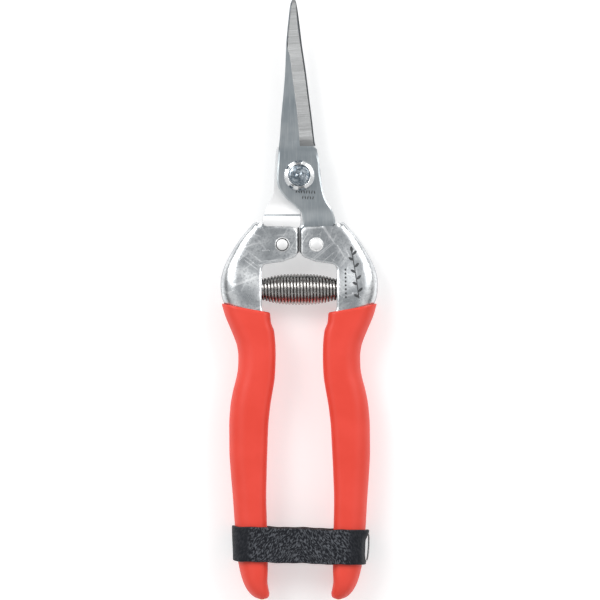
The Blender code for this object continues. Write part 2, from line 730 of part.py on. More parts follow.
build_blade("front_blade", FRONT_BLADE, 1)
build_blade("rear_blade", REAR_BLADE, -1)
for half, side in (("left", -1), ("right", 1)):
    build_handle(f"{half}_handle", side)
    build_grip(f"{half}_grip", side)
    build_rivet(f"{half}_rivet", side)
    build_spring_peg(f"{half}_spring_peg", side)
build_pivot()
build_spring()
build_strap()
build_strap_link()
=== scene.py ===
# %% [markdown]
# # Straight floral snips
# These snips have two slim blades that cross at a bolt, two handles pressed from sheet
# steel, red vinyl grips, a barrel-shaped spring that pushes the handles apart, and a
# leather strap that holds them shut. The working model says where every piece is and how
# it moves. This lesson builds the finished surfaces round it: one piece at a time, each
# from a short outline or profile, and each with a material made only from nodes.

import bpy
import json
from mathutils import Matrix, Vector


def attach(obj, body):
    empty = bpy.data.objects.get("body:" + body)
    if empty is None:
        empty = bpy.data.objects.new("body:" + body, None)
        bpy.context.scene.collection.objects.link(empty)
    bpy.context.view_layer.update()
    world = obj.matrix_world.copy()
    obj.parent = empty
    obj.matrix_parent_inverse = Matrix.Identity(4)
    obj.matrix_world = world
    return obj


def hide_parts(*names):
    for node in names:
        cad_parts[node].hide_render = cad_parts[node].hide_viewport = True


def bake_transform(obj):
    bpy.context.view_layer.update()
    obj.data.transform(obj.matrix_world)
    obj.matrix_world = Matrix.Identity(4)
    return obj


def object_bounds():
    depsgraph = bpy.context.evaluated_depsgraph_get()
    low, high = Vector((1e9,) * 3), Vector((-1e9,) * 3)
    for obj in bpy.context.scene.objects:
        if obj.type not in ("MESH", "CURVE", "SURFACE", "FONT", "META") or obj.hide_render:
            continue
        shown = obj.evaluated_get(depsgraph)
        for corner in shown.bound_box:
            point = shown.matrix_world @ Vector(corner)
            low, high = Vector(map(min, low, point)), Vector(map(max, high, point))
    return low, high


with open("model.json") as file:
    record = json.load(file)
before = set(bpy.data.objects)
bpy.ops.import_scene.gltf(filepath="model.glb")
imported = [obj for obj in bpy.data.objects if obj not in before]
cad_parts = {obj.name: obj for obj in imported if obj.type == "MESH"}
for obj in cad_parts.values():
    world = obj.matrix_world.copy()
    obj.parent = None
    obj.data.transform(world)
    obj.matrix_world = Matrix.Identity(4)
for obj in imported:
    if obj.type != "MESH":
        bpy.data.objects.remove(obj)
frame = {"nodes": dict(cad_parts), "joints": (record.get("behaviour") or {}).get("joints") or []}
cad_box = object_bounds()

# %% Tools and units
import json
import math

import bmesh
import bpy
import numpy as np
from mathutils import Matrix, Vector

MM = 0.001
pivot_joint = next(joint for joint in frame["joints"] if joint["name"] == "pivot")
PIVOT = Vector(pivot_joint["pos_m"])
print("pivot at", tuple(round(value / MM, 2) for value in PIVOT), "mm")

# %% [markdown]
# ## Camera, floor and light
# The snips lie flat and are looked at from straight above. A long lens far away keeps the
# edges almost parallel. Bright steel shows its surroundings, so the light matters as much
# as the metal: the sky straight above is a middle grey, a bright band runs round it lower
# down, and the horizon is dark. Flat faces then look satin grey, while rolled edges pick
# up thin white and dark lines.

# %% Camera
VIEW_WIDTH = 191.0 * MM
CAMERA_HEIGHT = 1.0
camera_data = bpy.data.cameras.new("camera")
camera_data.sensor_width = 36.0
camera = bpy.data.objects.new("camera", camera_data)
centre_y = (cad_box[0][1] + cad_box[1][1]) / 2
camera.location = (0.24 * MM, centre_y - 0.5 * MM, CAMERA_HEIGHT)
camera_data.lens = camera_data.sensor_width * (CAMERA_HEIGHT - PIVOT.z) / VIEW_WIDTH
bpy.context.scene.collection.objects.link(camera)
bpy.context.scene.camera = camera
print("lens", round(camera_data.lens), "mm")

# %% [markdown]
# ## Writing shader maths as plain expressions
# A node tree is easier to read as a formula. `Wire` holds one output socket. Adding,
# subtracting or multiplying wires makes the matching Math node, and the reflected forms
# let a number stand on the left, as in `1 - mask`. `Finish` owns one material and has a single
# method, `node`, that adds any other kind of node: its settings first, then its inputs.

# %% The two shader helpers


class Wire:
    """An output socket that works in expressions; each operation adds a Math node."""

    def __init__(self, finish, socket):
        self.finish = finish
        self.socket = socket

    def maths(self, operation, *terms):
        """Add one Math node; each term is a wire or a number."""
        return self.finish.node("ShaderNodeMath", {"operation": operation}, dict(enumerate(terms)))

    def __add__(self, other):
        return self.maths("ADD", self, other)

    def __radd__(self, other):
        return self.maths("ADD", other, self)

    def __sub__(self, other):
        return self.maths("SUBTRACT", self, other)

    def __rsub__(self, other):
        return self.maths("SUBTRACT", other, self)

    def __mul__(self, other):
        return self.maths("MULTIPLY", self, other)

    def __rmul__(self, other):
        return self.maths("MULTIPLY", other, self)

    def size(self):
        """The value without its sign."""
        return self.maths("ABSOLUTE", self)

    def between(self, low, high):
        """0 below low, 1 above high, eased in between."""
        settings = {"interpolation_type": "SMOOTHSTEP"}
        return self.finish.node("ShaderNodeMapRange", settings, {0: self, 1: low, 2: high})


class Finish:
    """A material and the nodes that feed its Principled shader."""

    def __init__(self, name, tree=None, **constants):
        if tree is None:
            self.material = bpy.data.materials.new(name)
            self.material.use_nodes = True
            tree = self.material.node_tree
            self.shader = tree.nodes["Principled BSDF"]
            for socket, value in constants.items():
                self.shader.inputs[socket.replace("_", " ")].default_value = value
        self.tree = tree

    def node(self, kind, settings=None, inputs=None, output=0):
        """Add a node, apply its settings, fill or link its inputs, and give back one output."""
        made = self.tree.nodes.new(kind)
        for key, value in (settings or {}).items():
            if key == "stops":
                ramp = made.color_ramp.elements
                while len(ramp) < len(value):
                    ramp.new(1.0)
                for stop, (place, colour) in zip(ramp, value):
                    stop.position = place
                    stop.color = (*colour, 1.0)
            else:
                setattr(made, key, value)
        for socket, value in (inputs or {}).items():
            if isinstance(value, Wire):
                self.tree.links.new(value.socket, made.inputs[socket])
            else:
                made.inputs[socket].default_value = value
        return Wire(self, made.outputs[output])

    def place(self, scale=(1, 1, 1), turn=0.0):
        """The surface's own place in metres, turned about Z and then stretched."""
        here = self.node("ShaderNodeTexCoord", output="Object")
        turned = self.node("ShaderNodeMapping", None, {0: here, 2: (0, 0, turn)})
        return self.node("ShaderNodeMapping", None, {0: turned, 3: scale})

    def noise(self, scale, detail=3.0, roughness=0.5, where=None):
        """Soft mottling between 0 and 1."""
        inputs = {"Vector": where or self.place(), "Scale": scale, "Detail": detail}
        inputs["Roughness"] = roughness
        return self.node("ShaderNodeTexNoise", None, inputs)

    def cells(self, scale):
        """Distance from the middles of scattered cells."""
        return self.node("ShaderNodeTexVoronoi", None, {"Vector": self.place(), "Scale": scale})

    def patches(self, scale, stretch):
        """The place again, but cut into patches that each lie at an angle of their own."""
        where = self.place()
        inputs = {"Vector": where, "Scale": scale}
        cell = self.node("ShaderNodeTexVoronoi", None, inputs, output=1)
        turn = self.node("ShaderNodeSeparateColor", None, {0: cell}) * math.tau
        settings = {"rotation_type": "Z_AXIS"}
        turned = self.node("ShaderNodeVectorRotate", settings, {"Vector": where, "Angle": turn})
        return self.node("ShaderNodeMapping", None, {0: turned, 3: (1.0, stretch, 1.0)})

    def mix(self, mask, low, high):
        """Blend two colours by a mask."""
        colours = {6: (*low, 1.0) if isinstance(low, tuple) else low}
        colours[7] = (*high, 1.0) if isinstance(high, tuple) else high
        return self.node("ShaderNodeMix", {"data_type": "RGBA"}, {0: mask, **colours}, output=2)

    def bump(self, height, distance, strength=1.0, under=None):
        """Turn a height into a bent normal, over an earlier one if given."""
        inputs = {"Height": height, "Distance": distance, "Strength": strength}
        if under is not None:
            inputs["Normal"] = under
        return self.node("ShaderNodeBump", None, inputs)

    def feed(self, **sockets):
        """Join wires to the shader, with _ for a space in the socket's name."""
        for socket, wire in sockets.items():
            self.tree.links.new(wire.socket, self.shader.inputs[socket.replace("_", " ")])
        return self.material


# %% Sky: how bright it is from straight down, 0, to straight up, 1
SKY = [
    (0.0, (0.80, 0.80, 0.80)),
    (0.20, (0.70, 0.70, 0.70)),
    (0.26, (0.12, 0.12, 0.13)),
    (0.38, (0.11, 0.11, 0.12)),
    (0.46, (0.90, 0.90, 0.90)),
    (0.60, (1.30, 1.30, 1.30)),
    (0.86, (1.30, 1.30, 1.30)),
    (0.92, (0.85, 0.87, 0.89)),
    (0.96, (0.66, 0.68, 0.70)),
    (1.0, (0.58, 0.60, 0.62)),
]
world = bpy.data.worlds.new("studio")
world.use_nodes = True
bpy.context.scene.world = world
sky = Finish("studio", tree=world.node_tree)
direction = sky.node("ShaderNodeTexCoord", output="Generated")
height = sky.node("ShaderNodeSeparateXYZ", None, {0: direction}, output=2)
colour = sky.node("ShaderNodeValToRGB", {"stops": SKY}, {0: height})
background = world.node_tree.nodes["Background"]
sky.tree.links.new(colour.socket, background.inputs["Color"])
background.inputs["Strength"].default_value = 0.58
print("sky stops:", len(SKY))

# %% Lamps and floor


def lamp(name, place, size, power):
    """A square soft light aimed at the middle of the snips."""
    data = bpy.data.lights.new(name, "AREA")
    data.size = size
    data.energy = power
    made = bpy.data.objects.new(name, data)
    made.location = place
    aim = Vector((0, 0, 0)) - Vector(place)
    made.rotation_euler = aim.to_track_quat("-Z", "Y").to_euler()
    bpy.context.scene.collection.objects.link(made)
    return made


lamp("key", (-0.57, 0.47, 0.66), 0.50, 4.6)
lamp("fill", (0.62, 0.42, 0.56), 0.55, 3.0)

floor_data = bpy.data.meshes.new("floor")
reach = 1.5
floor_data.from_pydata([(-reach, -reach, 0), (reach, -reach, 0), (reach, reach, 0), (-reach, reach, 0)],
                       [], [(0, 1, 2, 3)])
floor = bpy.data.objects.new("floor", floor_data)
floor.location.z = cad_box[0][2] - 0.2 * MM
bpy.context.scene.collection.objects.link(floor)
paper = Finish("pale paper", Roughness=0.9, Emission_Strength=0.56)
paper_grain = paper.noise(900.0)
paper_white = paper.mix(paper_grain, (0.70, 0.70, 0.70), (0.74, 0.74, 0.74))
floor_data.materials.append(paper.feed(Base_Color=paper_white, Emission_Color=paper_white))
bpy.context.scene.view_settings.view_transform = "Standard"
print("floor at", round(floor.location.z / MM, 2), "mm")

# %% [markdown]
# ## Finishes
# Each finish below is one function that gives back a material. They all start from the
# surface's own place in metres, so a scratch is as long as a real one on every piece.

# %% Plated steel of the handles


def plated_steel():
    """Bright plating over pressed sheet: mottled gloss, scratches every way, and sideways faces painted
    darker as shade.
    """
    steel = Finish("plated steel", Metallic=1.0)
    cloud = steel.noise(140.0, detail=4.0)
    mottle = steel.noise(1500.0, detail=3.0, roughness=0.6)
    short = steel.noise(45.0, detail=2.0, where=steel.patches(210.0, 34.0)).between(0.60, 0.68)
    long = steel.noise(28.0, detail=2.0, where=steel.patches(90.0, 60.0)).between(0.61, 0.67)
    scratches = short * 0.7 + long
    colour = steel.mix(cloud.between(0.35, 0.65), (0.62, 0.645, 0.66), (0.90, 0.92, 0.93))
    colour = steel.mix(mottle.between(0.42, 0.70) * 0.8, colour, (0.50, 0.52, 0.54))
    colour = steel.mix(scratches * 0.35, colour, (0.96, 0.96, 0.96))
    facing = steel.node("ShaderNodeNewGeometry", output=1)
    upright = steel.node("ShaderNodeSeparateXYZ", None, {0: facing}, output=2).size()
    # Painted shade: faces that turn sideways, as on the rolled edges, are painted darker.
    colour = steel.mix(upright.between(0.10, 0.60), (0.36, 0.375, 0.39), colour)
    relief = steel.bump(mottle, 0.022 * MM, 0.6)
    return steel.feed(
        Base_Color=colour,
        Roughness=0.22 + cloud * 0.14 + scratches * 0.10,
        Normal=steel.bump(scratches, 0.018 * MM, 0.6, relief),
    )


# %% Blade steel, flat and ground


def blade_flat():
    """The satin side of a blade: blue-grey with faint marks along its length."""
    steel = Finish("blade flat", Metallic=1.0)
    cloud = steel.noise(120.0, detail=3.0)
    brushed = steel.noise(60.0, detail=4.0, where=steel.place((90.0, 3.0, 1.0)))
    colour = steel.mix(cloud.between(0.3, 0.7), (0.44, 0.49, 0.52), (0.60, 0.64, 0.66))
    colour = steel.mix(brushed.between(0.45, 0.75) * 0.5, colour, (0.74, 0.76, 0.77))
    return steel.feed(
        Base_Color=colour,
        Roughness=0.26 + brushed * 0.12,
        Normal=steel.bump(brushed, 0.010 * MM, 0.6),
    )


def blade_ground():
    """The ground bevel: fine wheel marks that run across the blade, square to its edge."""
    steel = Finish("blade ground", Metallic=1.0)
    lean = -0.09
    marks = steel.noise(55.0, detail=5.0, roughness=0.7, where=steel.place((2.0, 110.0, 1.0), lean))
    coarse = steel.noise(50.0, detail=1.0, where=steel.place((1.0, 26.0, 1.0), lean))
    colour = steel.mix(marks.between(0.3, 0.7), (0.21, 0.214, 0.215), (0.31, 0.315, 0.317))
    return steel.feed(
        Base_Color=colour,
        Roughness=0.34 + coarse * 0.14,
        Normal=steel.bump(marks, 0.02 * MM, 0.7),
    )


def blade_painted_highlight():
    """A pale, evenly bright steel that paints a highlight, on the rear blade's face below the heel and on
    the rivets.
    """
    steel = Finish("blade painted highlight", Metallic=1.0)
    cloud = steel.noise(150.0, detail=3.0)
    # Painted highlight: the pale colour makes the surface read as brightly lit.
    colour = steel.mix(cloud, (0.88, 0.88, 0.88), (0.95, 0.95, 0.95))
    return steel.feed(Base_Color=colour, Roughness=0.58 + cloud * 0.06)


def blade_dark():
    """A dark steel that paints shade: on the blades' backs between the handle tabs and beside the front
    blade's edge, and darker in the left rivet's groove.
    """
    steel = Finish("blade dark", Metallic=1.0)
    cloud = steel.noise(300.0, detail=3.0)
    # Painted shade: this dark colour stands in for shade where it is used on the blades.
    colour = steel.mix(cloud, (0.10, 0.105, 0.11), (0.17, 0.175, 0.18))
    return steel.feed(Base_Color=colour, Roughness=0.42 + cloud * 0.1)


# %% Small hardware and spring wire


def hardware_steel():
    """Nut, washer, rivets and pegs: bright and smooth, with a faint cloudiness."""
    steel = Finish("hardware steel", Metallic=1.0)
    cloud = steel.noise(500.0, detail=3.0)
    colour = steel.mix(cloud.between(0.35, 0.65), (0.78, 0.80, 0.81), (0.92, 0.93, 0.94))
    return steel.feed(
        Base_Color=colour,
        Roughness=0.16 + cloud * 0.12,
        Normal=steel.bump(cloud, 0.02 * MM, 0.4),
    )


def peened_steel():
    """The hammered end of the bolt, also used on the washer as painted shade: blue-grey, painted darker
    down in the dents as shade, with scattered bright specks.
    """
    steel = Finish("peened steel", Metallic=1.0)
    dents = steel.noise(900.0, detail=3.0)
    specks = steel.noise(2600.0, detail=2.0)
    # Painted shade: the colour follows the dents' height, darker where they lie low.
    colour = steel.mix(dents.between(0.4, 0.62), (0.16, 0.20, 0.24), (0.48, 0.54, 0.59))
    colour = steel.mix(specks.between(0.55, 0.7) * 0.7, colour, (0.90, 0.92, 0.93))
    return steel.feed(
        Base_Color=colour,
        Roughness=0.24 + specks * 0.16,
        Normal=steel.bump(dents, 0.14 * MM, 0.8),
    )


def etched_steel():
    """Stamped marks: the plating is broken there, so they look dark and dull."""
    steel = Finish("etched steel", Metallic=0.6)
    cloud = steel.noise(1200.0, detail=2.0)
    colour = steel.mix(cloud, (0.045, 0.048, 0.050), (0.12, 0.125, 0.13))
    return steel.feed(Base_Color=colour, Roughness=0.5 + cloud * 0.2)


def spring_steel():
    """Hard-drawn spring wire: dark and glossy, so that it shows thin bright lines."""
    steel = Finish("spring steel", Metallic=1.0)
    drawn = steel.noise(2200.0, detail=2.0)
    colour = steel.mix(drawn.between(0.3, 0.7), (0.35, 0.337, 0.325), (0.55, 0.536, 0.523))
    return steel.feed(Base_Color=colour, Roughness=0.12 + drawn * 0.10)


# %% Vinyl


def vinyl():
    """Coral red dipped vinyl: satin, a faint orange-peel skin, slightly uneven colour."""
    skin = Finish("coral vinyl", IOR=1.5)
    cloud = skin.noise(90.0, detail=3.0)
    peel = skin.noise(1500.0, detail=2.0)
    speck = skin.cells(2600.0)
    colour = skin.mix(cloud.between(0.3, 0.7), (0.82, 0.055, 0.030), (0.87, 0.066, 0.040))
    relief = skin.bump(peel, 0.05 * MM, 0.35)
    return skin.feed(
        Base_Color=colour,
        Roughness=0.40 + cloud * 0.08 + peel * 0.06,
        Normal=skin.bump(speck, 0.02 * MM, 0.25, relief),
    )


# %% Leather


def leather():
    """Charcoal leather: short ridges in a loose herringbone, painted lighter as glints, pressed smooth
    over the folds.
    """
    hide = Finish("charcoal leather", Specular_IOR_Level=0.16)
    sideways = hide.node("ShaderNodeSeparateXYZ", None, {0: hide.place()})
    outwards = sideways.size()
    upwards = hide.node("ShaderNodeSeparateXYZ", None, {0: hide.place()}, output=1)
    open_part = 1 - outwards.between(14.2 * MM, 17.0 * MM) * 0.85
    wander = hide.noise(500.0, detail=2.0)
    bend = hide.noise(150.0, detail=1.0) * 3.0
    over_ridges = outwards * 0.82 + upwards * 0.57 + bend * MM
    down_ridges = (upwards * 0.82 - outwards * 0.57) * 0.36
    lay = hide.node("ShaderNodeCombineXYZ", None, {0: over_ridges, 1: down_ridges, 2: sideways * 0.30})
    ridges = hide.noise(2700.0, detail=1.0, where=lay)
    cloud = hide.noise(160.0, detail=3.0)
    raised = ridges.between(0.42, 0.66) * open_part
    dark = hide.mix(cloud, (0.008, 0.009, 0.012), (0.014, 0.016, 0.021))
    # Painted highlight: the raised ridges are painted lighter, as glints.
    colour = hide.mix(raised, dark, (0.110, 0.117, 0.132))
    grain = hide.bump(raised, 0.22 * MM, 0.9)
    return hide.feed(
        Base_Color=colour,
        Roughness=0.50 - raised * 0.18 + wander * 0.08,
        Normal=hide.bump(wander, 0.08 * MM, 0.4, grain),
    )


def cut_edge():
    """The strap's cut edge: dense, matt and a shade browner than its face."""
    hide = Finish("leather edge")
    fibres = hide.noise(2500.0, detail=4.0)
    colour = hide.mix(fibres, (0.016, 0.014, 0.013), (0.040, 0.036, 0.034))
    return hide.feed(Base_Color=colour, Roughness=0.7 + fibres * 0.15, Normal=hide.bump(fibres, 0.08 * MM))


FINISHES = {
    "plated_steel": plated_steel(),
    "blade_steel": blade_flat(),
    "blade_ground": blade_ground(),
    "blade_painted_highlight": blade_painted_highlight(),
    "blade_dark": blade_dark(),
    "hardware_steel": hardware_steel(),
    "peened_steel": peened_steel(),
    "etched_steel": etched_steel(),
    "spring_steel": spring_steel(),
    "vinyl": vinyl(),
    "leather": leather(),
    "leather_edge": cut_edge(),
}
print("finishes:", len(FINISHES))

# %% [markdown]
# ## Shaping tools
# All shapes are drawn in millimetres about the pivot, with the blade tips towards +Y and
# the front face up. Outlines are short tables of points, and two small functions turn
# them into smooth lines: one reads a value at any height without overshooting its points,
# the other draws a flowing curve through points in the plane.

# %% Smooth lines


def read(table, column, y):
    """A monotone cubic through a table's (y, values...) rows, read at one or many heights."""
    rows = sorted(table)
    xs = np.array([row[0] for row in rows], float)
    vs = np.array([row[column] for row in rows], float)
    gap = np.diff(xs)
    rise = np.diff(vs) / gap
    slope = np.concatenate([[rise[0]], np.zeros(len(rise) - 1), [rise[-1]]])
    for k in range(1, len(rise)):
        if rise[k - 1] * rise[k] > 0:
            a, b = 2 * gap[k] + gap[k - 1], gap[k] + 2 * gap[k - 1]
            slope[k] = (a + b) / (a / rise[k - 1] + b / rise[k])
    y = np.clip(y, xs[0], xs[-1])
    k = np.clip(np.searchsorted(xs, y) - 1, 0, len(gap) - 1)
    t = (y - xs[k]) / gap[k]
    here = (1 + 2 * t) * (1 - t) ** 2 * vs[k] + t * t * (3 - 2 * t) * vs[k + 1]
    return here + gap[k] * (t * (1 - t) ** 2 * slope[k] + t * t * (t - 1) * slope[k + 1])


def ease(value, start, end):
    """0 at start, 1 at end, with soft ends."""
    t = np.clip((value - start) / (end - start), 0.0, 1.0)
    return t * t * (3 - 2 * t)


def flow(points, count):
    """A Catmull-Rom curve through points in the plane, as evenly spaced points."""
    p = np.array(points, float)
    p = np.vstack([2 * p[0] - p[1], p, 2 * p[-1] - p[-2]])
    fine = []
    for k in range(1, len(p) - 2):
        for t in np.linspace(0, 1, 12, endpoint=False):
            a = 2 * p[k] + (p[k + 1] - p[k - 1]) * t
            b = (2 * p[k - 1] - 5 * p[k] + 4 * p[k + 1] - p[k + 2]) * t * t
            c = (3 * p[k] - p[k - 1] - 3 * p[k + 1] + p[k + 2]) * t**3
            fine.append((a + b + c) / 2)
    fine.append(p[-2])
    return spaced(np.array(fine), count)


def spaced(line, count):
    """The same line with evenly spaced points."""
    steps = np.concatenate([[0], np.cumsum(np.linalg.norm(np.diff(line, axis=0), axis=1))])
    wanted = np.linspace(0, steps[-1], count)
    return np.column_stack([np.interp(wanted, steps, line[:, k]) for k in range(line.shape[1])])


def arc(x, y, radius, start, sweep, steps=8):
    """Points round an arc, angles in degrees."""
    turns = [math.radians(start + sweep * k / steps) for k in range(steps + 1)]
    return [(x + radius * math.cos(a), y + radius * math.sin(a)) for a in turns]


# %% Meshes from rings


def finish_mesh(bm, name, finishes, body, nodes, sharp=35):
    """Turn a bmesh in pivot millimetres into a finished piece on its body."""
    bmesh.ops.transform(bm, matrix=Matrix.Translation(PIVOT) @ Matrix.Scale(MM, 4), verts=bm.verts)
    bmesh.ops.recalc_face_normals(bm, faces=bm.faces)
    mesh = bpy.data.meshes.new(name)
    bm.to_mesh(mesh)
    bm.free()
    piece = bpy.data.objects.new(name, mesh)
    bpy.context.scene.collection.objects.link(piece)
    for finish in finishes:
        mesh.materials.append(FINISHES[finish])
    mesh.shade_smooth()
    mesh.set_sharp_from_angle(angle=math.radians(sharp))
    if body:
        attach(piece, body)
    if nodes:
        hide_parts(*nodes)
    print(name, len(mesh.polygons), "faces")
    return piece


def skin(rings, closed_ring=True, caps=True, joined=False):
    """A bmesh over rings of points; joined also ties the last ring to the first."""
    bm = bmesh.new()
    rows = [[bm.verts.new(point) for point in ring] for ring in rings]
    count = len(rings[0])
    pairs = list(zip(rows, rows[1:])) + ([(rows[-1], rows[0])] if joined else [])
    for first, second in pairs:
        for k in range(count if closed_ring else count - 1):
            n = (k + 1) % count
            bm.faces.new((first[k], first[n], second[n], second[k]))
    if caps and closed_ring and not joined:
        bm.faces.new(rows[0][::-1])
        bm.faces.new(rows[-1])
    return bm


def spin(profile, segments=64, x=0.0, y=0.0, shape=None):
    """A turned shape about an upright axis; shape may bend a (radius, height) by its angle."""
    rings = []
    for k in range(segments):
        angle = 2 * math.pi * k / segments
        ring = []
        for radius, height in profile:
            if shape:
                radius, height = shape(radius, height, angle)
            ring.append((x + radius * math.cos(angle), y + radius * math.sin(angle), height))
        rings.append(ring)
    bm = skin(rings, closed_ring=False, caps=False, joined=True)
    bmesh.ops.remove_doubles(bm, verts=bm.verts, dist=0.0005)
    return bm


def soften(piece, width, segments=2, angle=35):
    """Round a piece's sharp edges, as tumbling or wear does."""
    bevel = piece.modifiers.new("soft edges", "BEVEL")
    bevel.width = width * MM
    bevel.segments = segments
    bevel.limit_method = "ANGLE"
    bevel.angle_limit = math.radians(angle)
    bevel.harden_normals = False
    return bevel


# %% [markdown]
# ## Blades
# Each blade is a slim wedge of stainless plate. Its back is straight, its outer face is
# ground to a bevel that widens towards the tip, a small heel ends the cutting edge just
# above the bolt, and below the bolt an S-shaped neck leads to a tang. The plate steps
# back to the tool's middle there, so that both tangs fit between the handles' walls. A
# table of stations along Y gives the edge, the start of the bevel and the back, and a
# skin over the sections makes the solid.

# %% Blade stations
THICK = 2.0
GAP = 0.05
# Each row is y, then x of the cutting edge, of the bevel's start and of the back.
FRONT_BLADE = [
    (56.0, -1.35, -2.2, -2.3),
    (55.0, -1.1, -2.65, -2.75),
    (48.4, -0.6, -3.5, -3.6),
    (42.0, 0.3, -4.0, -4.15),
    (38.0, 0.9, -3.05, -4.3),
    (33.1, 1.65, -2.4, -4.5),
    (25.5, 2.6, -1.4, -5.1),
    (17.8, 3.6, -0.5, -5.8),
    (14.8, 3.95, -0.2, -6.0),
    (12.0, 4.3, 0.0, -6.2),
    (9.0, 4.7, 0.3, -6.5),
    (8.5, 5.6, 0.6, -6.55),
    (7.9, 5.7, 4.0, -6.6),
    (4.5, 6.3, 5.8, -6.8),
    (0.6, 6.6, 6.1, -7.1),
    (-1.3, 6.9, 6.4, -7.1),
    (-3.2, 7.2, 6.7, -6.8),
    (-5.1, 7.6, 7.1, -5.8),
    (-7.3, 8.35, 7.8, -4.0),
    (-8.9, 9.15, 8.6, -2.1),
    (-10.3, 10.1, 9.6, -0.5),
    (-11.6, 10.7, 10.2, 0.7),
    (-14.4, 11.5, 11.0, 1.1),
    (-15.8, 11.2, 10.7, 0.9),
    (-16.8, 11.0, 10.5, 0.05),
    (-19.0, 10.6, 10.1, 0.04),
    (-24.0, 9.7, 9.2, 0.04),
    (-25.6, 8.2, 7.7, 1.6),
]
REAR_BLADE = [
    (56.0, 1.95, 1.6, 1.2),
    (55.0, 2.15, 1.6, 0.9),
    (48.4, 3.1, 1.0, -0.1),
    (42.0, 3.55, 0.1, -0.85),
    (33.1, 4.0, 0.1, -2.15),
    (25.5, 4.6, 0.8, -3.1),
    (17.8, 5.3, 1.6, -4.1),
    (10.4, 5.9, 3.4, -5.0),
    (9.6, 6.0, 4.9, -5.2),
    (9.1, 7.1, 6.2, -5.3),
    (4.5, 7.7, 7.1, -6.2),
    (0.6, 7.9, 7.4, -7.0),
    (-1.8, 8.0, 7.5, -7.0),
    (-3.2, 8.1, 7.6, -6.8),
    (-5.1, 8.2, 7.7, -5.8),
    (-7.3, 9.1, 8.6, -4.0),
    (-8.9, 9.9, 9.4, -2.1),
    (-10.3, 10.5, 10.0, -0.7),
    (-12.0, 11.15, 10.6, -0.45),
    (-14.4, 11.7, 11.2, -0.5),
    (-15.8, 11.4, 10.9, -0.3),
    (-16.8, 11.2, 10.7, 0.05),
    (-19.0, 10.6, 10.1, 0.04),
    (-24.0, 9.7, 9.2, 0.04),
    (-25.6, 8.2, 7.7, 1.6),
]
# Where the front (1) and rear (-1) plate start and stop stepping back to the middle.
JOGGLES = {1: (-9.5, -16.0), -1: (-8.5, -15.0)}
CREASE = -12.5
HEEL = 8.2
# The top of the rear blade's painted highlight, and the height below which the tangs' backs take painted
# shade.
HIGHLIGHT_TOP = 9.75
TAB_SHADE = -16.5

# %% Blade skin


def blade_heights(y, side):
    """Heights of the shear face, the outer face and the edge's lip at one station."""
    start, end = JOGGLES[side]
    sunk = ease(y, start, end)
    thick = THICK - 0.9 * ease(y, 42.0, 56.0)
    lip = 0.35 + (thick - 0.35) * ease(y, 14.5, 8.6)
    shear = side * GAP * (1 - sunk) - side * THICK / 2 * sunk
    if side < 0:
        shear -= 0.22 * max(0.0, 1 - abs(y - CREASE) / 0.22)
    lip = min(lip, thick - 0.17 * ease(y, 9.0, 7.5))
    return shear, shear + side * thick, shear + side * lip


def blade_finish(face, table, side):
    """Which finish a face of a blade takes: 0 flat, 1 ground, 2 painted highlight or 3 painted shade."""
    middle = face.calc_center_median()
    not_an_end = len(face.verts) == 4
    near_back = side * middle.x < float(read(table, 3, middle.y)) + 0.6
    # Painted shade on the tang's back strip, where it lies between the handle tabs.
    if middle.y < TAB_SHADE and near_back and face.normal.z > 0.8:
        return 3
    if not_an_end and middle.y > HEEL and 0.03 < abs(face.normal.x) < 0.97:
        return 1
    # The rear blade's face takes a painted highlight below the heel and painted shade on its back strip
    # above it.
    if not_an_end and side < 0 and face.normal.z > 0.8:
        return 2 if middle.y < HIGHLIGHT_TOP else 3 * near_back
    return 0


def build_blade(name, table, side, body, node):
    """A blade from its stations, each face in the finish of its side of the blade."""
    fixed = {row[0] for row in table} | {8.8, 9.4, CREASE - 0.22, CREASE, CREASE + 0.22}
    stations = sorted(fixed | set(np.round(np.arange(-25.2, 56.0, 0.8), 2)), reverse=True)
    rings = []
    for y in stations:
        edge, bevel, back = (float(read(table, column, y)) for column in (1, 2, 3))
        shear, outer, lip = blade_heights(y, side)
        # Edge of the narrow strip along the back, which takes painted shade in places.
        dark = back + min(0.55, 0.3 * (edge - back))
        worn = outer - side * 0.17 * float(ease(y, 9.0, 7.0))
        section = [(dark, shear), (edge, shear), (edge, lip), (bevel, outer), (dark, outer)]
        section += [(back, worn), (back, shear)]
        rings.append([(x * side, y, z) for x, z in section])
    bm = skin(rings)
    for face in bm.faces:
        face.normal_update()
        face.material_index = blade_finish(face, table, side)
    finishes = ["blade_steel", "blade_ground", "blade_painted_highlight", "blade_dark"]
    piece = finish_mesh(bm, name, finishes, body, [node], 12)
    soften(piece, 0.16, 2, 40)
    return piece


build_blade("front_blade_steel", FRONT_BLADE, 1, "right_half", "front_blade")
build_blade("rear_blade_steel", REAR_BLADE, -1, "left_half", "rear_blade")

# %% [markdown]
# ## Handles
# A handle is one piece of sheet steel, pressed to a channel that is open towards the
# middle of the tool. Its outside edge is rolled half round, its faces are flat, and near
# the bolt both faces are pinched down onto the blade's tang, which leaves a shallow step.
# To model it, each point of the outer edge is paired with a point of the inner edge. The
# height of every point between them follows from how far it is from the outer edge, so
# the roll keeps one width all the way round the shoulder.

